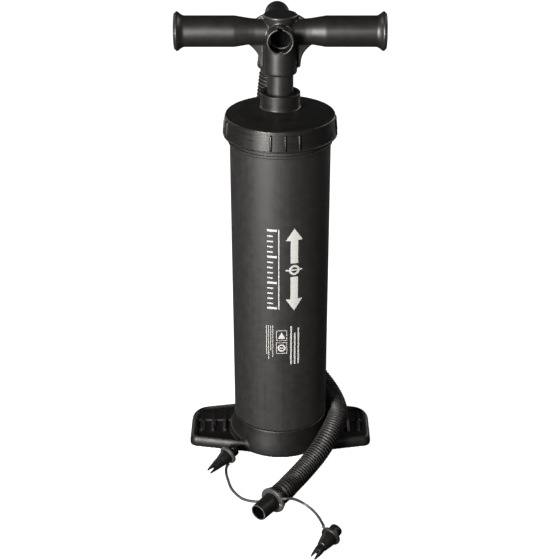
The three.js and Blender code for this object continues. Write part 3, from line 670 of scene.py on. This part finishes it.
# ------------------------------------------------------------------ handle
GZ, PZ = 450.4, 448.3
hub = lathe("hub", rounded([
    (0, 409.5), (15.4, 409.5, 0.6), (16.4, 411.2, 0.8), (16.4, 438.5, 4), (12.7, 448.5, 3), (16.35, 466.3, 0.7), (15.6, 467.3, 0.5), (0, 467.3)]), 96)
grip_side = [(0, 99.7), (18.3, 99.7, 0.6), (18.9, 98.5, 0.9), (18.4, 97.2, 1.2), (16.2, 94.6, 3), (14.85, 92.0, 3), (14.85, 43.5, 10), (12.6, 30, 8), (12.0, 24, 6)]
grips = lathe("grips", rounded([(p[0], -p[1], *p[2:]) for p in grip_side] + [tuple(p) for p in grip_side[::-1]]), 96, axis="x", at=(0, 0, GZ))
port = lathe("port", rounded([(0, -8.2), (10.9, -8.2), (10.9, -30, 0.4), (12.7, -30, 0.5), (12.7, 30, 0.5), (10.9, 30, 0.4), (10.9, 12.6), (9.2, 12.6), (9.2, -5), (0, -5)]), 96, axis="y", at=(0, 0, PZ))
parts = [hub, grips, port]
lower = [(14, 415.0), (19.0, 415.0), (19.6, 417), (19.9, 421), (20.6, 425), (22.2, 429), (24.8, 432.6), (28.2, 436), (31.5, 438.6), (31.5, 445), (14, 445)]
upper = [(10, 455), (26, 455), (25.4, 459.4), (23.2, 462.6), (20.2, 464.8), (17.6, 466.1), (10, 466.1)]
for k, pts in enumerate((lower, upper)):
    w = plate_xz("web%d" % k, pts, -1.7, 1.7)
    parts += [w, mirrored(w, "web%d_l" % k)]
cutters = [
    lathe("rod_socket", [(0, 408), (13.05, 408), (13.05, 430.8), (6.9, 430.8), (6.9, 441), (0, 441)], 96),
    lathe("front_bore", [(0, -31), (10.9, -31), (10.9, -8.2), (0, -8.2)], 96, axis="y", at=(0, 0, PZ)),
    lathe("rear_bore", [(0, -5), (9.2, -5), (9.2, 12.6), (10.9, 12.6), (10.9, 31), (0, 31)], 96, axis="y", at=(0, 0, PZ)),
    block("airway", -5.5, 5.5, -10.6, -8.3, 430, 446),
    block("notch_front", -2.3, 2.3, -31, -23.5, PZ - 14, PZ + 14),
    block("notch_rear", -2.3, 2.3, 23.5, 31, PZ - 14, PZ + 14),
    lathe("screw_hole", [(0, 8), (1.7, 8), (1.7, 20), (0, 20)], 24, axis="y", at=(0, 0, 419)),
]
for c in cutters:
    for p in parts[:2]:
        boolean(p, c, keep=True)
for c in (cutters[0], *cutters[3:6]):
    boolean(port, c, keep=True)
for c in cutters[:3]:
    for p in parts[3:]:
        boolean(p, c, keep=True)
for c in cutters:
    bpy.data.objects.remove(c)
handle = join("handle_shell", parts)
remesh(handle, 0.66, 4)
finish_piece(handle, HANDLE, PLUNGER, "body_plastic", "handle_body")
# a near-black lining on the port's inner walls and back: painted shade inside the port
liner = lathe("port_liner", rounded([(0, -8.35), (10.88, -8.35), (10.88, -23.2), (10.55, -23.2), (10.55, -9.6, 0.6), (5.2, -9.6, 0.3), (5.2, -11.2, 0.3), (4.4, -11.2, 0.2), (4.4, -8.8), (0, -8.8)]), 96, axis="y", at=(0, 0, PZ))
finish_piece(weighted(smooth(liner)), SHADE_BLACK, PLUNGER, "body_plastic")
# bayonet ramps inside the open port, each climbing away from its notch, in a darker, duller copy of the handle plastic:
# painted shade inside the port
ramps = []
for k in range(2):
    row = []
    for i in range(37):
        t = i / 36
        a = math.radians(25 + 180 * k - 165 * t)
        y = -21.8 + 8.6 * t
        row.append([(r * math.cos(a), y + dy, PZ + r * math.sin(a)) for r, dy in ((10.8, -0.5), (9.4, -0.42), (9.15, -0.2), (9.15, 0.2), (9.4, 0.42), (10.8, 0.5))])
    ramps.append(loft("ramp", row))
ramps = join("port_ramps", ramps)
finish_piece(weighted(smooth(ramps, 40)), LEDGE_SHADE, PLUNGER, "body_plastic")
for side, node in ((1, "grip_end_cap_right"), (-1, "grip_end_cap_left")):
    plug = lathe("end_plug_" + ("right" if side > 0 else "left"), rounded([(0, 96), (11.2, 96), (11.2, 99.9), (17.8, 99.9, 0.4), (16.8, 101.0, 0.5), (9.5, 101.3, 0.5), (8.8, 100.8, 0.4), (0, 100.8)]),
                 96, axis="x", at=(0, 0, GZ))
    if side < 0:
        flipped = mirrored(plug, plug.name + "_m")
        name = plug.name
        bpy.data.objects.remove(plug)
        flipped.name = name
        plug = flipped
    finish_piece(weighted(smooth(plug)), HANDLE, PLUNGER, "body_plastic", node)

# ------------------------------------------------------------------ hose elbow
ELBOW_PATH = [(-0.6, 33, 448.3), (-1.6, 45, 448.3), (-2.6, 56, 450.2), (-3.2, 64.0, 449.5), (-3.9, 69.7, 443.6), (-4.8, 71.4, 434), (-7.4, 71.4, 412), (-10.0, 71.5, 391)]
line, s = even(centripetal(ELBOW_PATH, 20), 1.2)
r = np.full(len(s), 12.2)
body = sweep("hose_connector", line, r, 48)
direction = Vector(line[-1] - line[-6]).normalized()
cuff = lathe("cuff", rounded([(9.9, -24), (11.4, -24, 0.5), (13.4, -20, 1), (13.8, -18, 0.6), (13.8, -1.2, 0.8), (13.0, 0, 0.4), (9.9, 0), (9.9, -24)], closed=True), 72, at=line[-1], direction=direction)
grip_rings = [lathe("ring", rounded([(12.9, -h - 0.8), (14.15, -h - 0.5, 0.35), (14.15, -h + 0.5, 0.35), (12.9, -h + 0.8), (12.9, -h - 0.8)], closed=True), 72, at=line[-1], direction=direction) for h in (4, 8, 12, 16)]
flange = lathe("flange", rounded([(0, 30.5), (13.3, 30.5, 0.5), (13.3, 33.9, 0.8), (12.4, 35.4, 0.8), (12.2, 37), (0, 37)]), 72, axis="y", at=(0, 0, PZ))
neck = lathe("neck", [(0, 13.8), (10.4, 13.8), (10.4, 31), (0, 31)], 72, axis="y", at=(0, 0, PZ))
lugs = [block("lug", -1.7, 1.7, 25.2, 31, PZ + z0, PZ + z1) for z0, z1 in ((9.6, 12.1), (-12.1, -9.6))]
elbow = join("hose_connector_shell", [body, cuff, *grip_rings, flange, neck, *lugs])
remesh(elbow, 0.5, 4)
finish_piece(elbow, ELBOW, PLUNGER, "base_plastic", "hose_elbow")

# ------------------------------------------------------------------ printed marks on the barrel: plain signs, no lettering
INK = bpy.data.materials.new("white_ink")
INK.use_nodes = True
nt = INK.node_tree
bsdf = nt.nodes["Principled BSDF"]
tc, nz, mr, mx = (nt.nodes.new(t) for t in ("ShaderNodeTexCoord", "ShaderNodeTexNoise", "ShaderNodeMapRange", "ShaderNodeMix"))
nz.inputs["Scale"].default_value, nz.inputs["Detail"].default_value = 900.0, 4.0
mr.inputs["From Min"].default_value, mr.inputs["From Max"].default_value = 0.25, 0.55
mx.data_type = "RGBA"
mx.inputs["A"].default_value, mx.inputs["B"].default_value = (0.24, 0.24, 0.235, 1), (0.34, 0.34, 0.333, 1)
nt.links.new(tc.outputs["Object"], nz.inputs["Vector"])
nt.links.new(nz.outputs["Fac"], mr.inputs["Value"])
nt.links.new(mr.outputs["Result"], mx.inputs["Factor"])
nt.links.new(mx.outputs["Result"], bsdf.inputs["Base Color"])
bsdf.inputs["Roughness"].default_value = 0.5

ink_verts, ink_faces = [], []


def on_barrel(u, z, lift=0.07):
    radius = 49.2 + 0.8 * (z - 30.5) / 308.4 + lift
    a = u / 49.8 - math.pi / 2
    return (radius * math.cos(a), radius * math.sin(a), z)


def spans(rows, step=1.0):
    """Rows of (z, left u, right u) joined into a patch that follows the barrel."""
    widest = max(b - a for _, a, b in rows)
    m = max(1, int(math.ceil(widest / step)))
    start = len(ink_verts)
    for z, a, b in rows:
        for k in range(m + 1):
            ink_verts.append(on_barrel(a + (b - a) * k / m, z))
    for i in range(len(rows) - 1):
        for k in range(m):
            p = start + i * (m + 1) + k
            ink_faces.append((p, p + 1, p + m + 2, p + m + 1))


def bar(u0, u1, z0, z1):
    spans([(z0, u0, u1), (z1, u0, u1)])


def frame_box(u0, u1, z0, z1, t=0.55):
    bar(u0, u1, z0, z0 + t)
    bar(u0, u1, z1 - t, z1)
    bar(u0, u0 + t, z0 + t, z1 - t)
    bar(u1 - t, u1, z0 + t, z1 - t)


def arrow(u, z0, z1, up=True, w=7.4, shaft=3.0, head=12.0):
    if up:
        bar(u - shaft, u + shaft, z0, z1 - head)
        spans([(z1 - head + head * k / 12, u - w * (1 - k / 12) - 0.02, u + w * (1 - k / 12) + 0.02) for k in range(13)])
    else:
        bar(u - shaft, u + shaft, z0 + head, z1)
        spans([(z0 + head * k / 12, u - w * (k / 12) - 0.02, u + w * (k / 12) + 0.02) for k in range(13)])


def annulus(u, z, r0, r1, n=36):
    start = len(ink_verts)
    for k in range(n):
        a = 2 * math.pi * k / n
        for r in (r0, r1):
            ink_verts.append(on_barrel(u + r * math.cos(a), z + r * math.sin(a)))
    for k in range(n):
        j = (k + 1) % n
        ink_faces.append((start + 2 * k, start + 2 * k + 1, start + 2 * j + 1, start + 2 * j))


# a pair of pumping arrows with a piston sign between them
arrow(14.2, 228.0, 266.0, up=True, w=8.8, shaft=3.9, head=13.0)
arrow(14.2, 175.0, 213.0, up=False, w=8.8, shaft=3.9, head=13.0)
annulus(14.2, 220.5, 3.2, 5.6)
bar(5.4, 22.6, 219.7, 221.3)
# stroke scale beside them
for k in range(16):
    z = 177.0 + k * 5.75
    long = k % 5 == 0
    bar(-13.2, -3.4 if long else -7.4, z, z + (2.3 if long else 1.5))
bar(-2.0, -1.0, 177.0, 265.5)
# framed signs and rule lines under them
frame_box(-4.2, 7.0, 140.5, 152.5)
spans([(142.8 + 7.6 * k / 10, 1.4 - 3.9 * (1 - k / 10), 1.4 + 3.9 * (1 - k / 10) + 0.02) for k in range(11)])
frame_box(-4.2, 7.0, 125.5, 138.5)
annulus(1.4, 132.0, 2.6, 4.2)
bar(-0.6, 3.4, 131.4, 132.6)
for k, (z0, z1) in enumerate(((112.0, 157.0), (112.0, 149.0), (112.0, 154.0))):
    bar(10.4 + 3.9 * k, 12.0 + 3.9 * k, z0, z1)
for k, (z0, z1) in enumerate(((124.0, 158.0), (118.0, 158.0), (129.0, 158.0), (121.0, 158.0))):
    bar(-14.6 + 2.2 * k, -14.0 + 2.2 * k, z0, z1)
marks = new_object("barrel_marks", ink_verts, ink_faces)
for p in marks.data.polygons:
    p.use_smooth = True
bm = bmesh.new()
bm.from_mesh(marks.data)
for f in bm.faces:
    c = f.calc_center_median()
    if f.normal.x * c.x + f.normal.y * c.y < 0:
        f.normal_flip()
bm.to_mesh(marks.data)
bm.free()
finish_piece(marks, INK, ROOT, "natural_plastic")

# ------------------------------------------------------------------ CAD nodes that stay, with their own finishes
LOOK = {
    "cap_gasket": RUBBER, "rod_seal": RUBBER, "piston_seal_lower": RUBBER, "piston_seal_upper": RUBBER, "inner_tube_o_ring": RUBBER, "elbow_o_ring": RUBBER,
    # the rod guide bush takes the painted-shade black, which darkens the gap round the rod
    "rod_guide_bush": SHADE_BLACK, "seal_retainer": CAP, "piston_body": ELBOW, "piston_top_cover": ELBOW, "piston_bottom_cover": ELBOW, "inner_air_tube": NATURAL,
}
for name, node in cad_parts.items():
    look = LOOK.get(name)
    if look is None and name.endswith("_pin"):
        look = NATURAL
    if look is None and name.endswith("_disc"):
        look = RUBBER
    if look is None and "screw_" in name and name != "screw_cap" or name == "handle_rod_screw":
        look = STEEL
    if look is not None:
        node.data.materials.clear()
        node.data.materials.append(look)

# ------------------------------------------------------------------ floor, backdrop and light
def emitter(name, colour, strength, diffuse=None):
    m = bpy.data.materials.new(name)
    m.use_nodes = True
    b = m.node_tree.nodes["Principled BSDF"]
    b.inputs["Base Color"].default_value = (*(diffuse or (0, 0, 0)), 1)
    b.inputs["Roughness"].default_value = 0.9
    b.inputs["Specular IOR Level"].default_value = 0.0
    b.inputs["Emission Color"].default_value = (*colour, 1)
    b.inputs["Emission Strength"].default_value = strength
    return m


floor = new_object("floor", [(-9, -9, -0.0004), (9, -9, -0.0004), (9, 9, -0.0004), (-9, 9, -0.0004)], [(0, 1, 2, 3)], 1)
floor.data.materials.append(emitter("floor_paper", (1, 1, 1), 0.94, (0.4, 0.4, 0.4)))
dome_v, dome_f = lathe_data([(0, 8.5), (3.3, 7.8), (6.0, 6.0), (7.8, 3.3), (8.5, 0), (8.5, -0.5), (0, -0.5)], 48)
dome = new_object("backdrop", dome_v, dome_f, 1)
dome.data.materials.append(emitter("backdrop_paper", (1, 1, 1), 1.05))
for o in (floor, dome):
    o.visible_glossy = False
    o.visible_diffuse = False
dome.visible_shadow = False

world = bpy.data.worlds.new("studio")
world.use_nodes = True
world.node_tree.nodes["Background"].inputs["Color"].default_value = (1, 1, 1, 1)
world.node_tree.nodes["Background"].inputs["Strength"].default_value = 0.03
scene.world = world


def area(name, at, target, size, power):
    d = bpy.data.lights.new(name, "AREA")
    d.shape, d.size, d.size_y, d.energy = "RECTANGLE", size[0], size[1], power
    d.color = (1.0, 0.967, 0.930)
    o = bpy.data.objects.new(name, d)
    o.location = at
    o.rotation_euler = (Vector(target) - Vector(at)).to_track_quat("-Z", "Y").to_euler()
    scene.collection.objects.link(o)
    return o


area("key", (-0.98, -1.62, 0.68), (0, 0, 0.32), (0.46, 1.05), 130)
area("front", (0.12, -1.80, 0.90), (0, 0, 0.32), (0.20, 0.60), 5)
area("rear_right", (1.35, 1.45, 0.42), (0, 0, 0.25), (0.5, 0.9), 6)
area("rear_left", (-1.35, 1.45, 0.42), (0, 0, 0.25), (0.5, 0.9), 4)
area("side_high_right", (1.85, 0.75, 1.45), (0, 0, 0.25), (0.8, 0.8), 15)
area("side_high_left", (-1.85, 0.75, 1.45), (0, 0, 0.25), (0.8, 0.8), 10)

scene.view_settings.view_transform = "Standard"
scene.view_settings.look = "None"
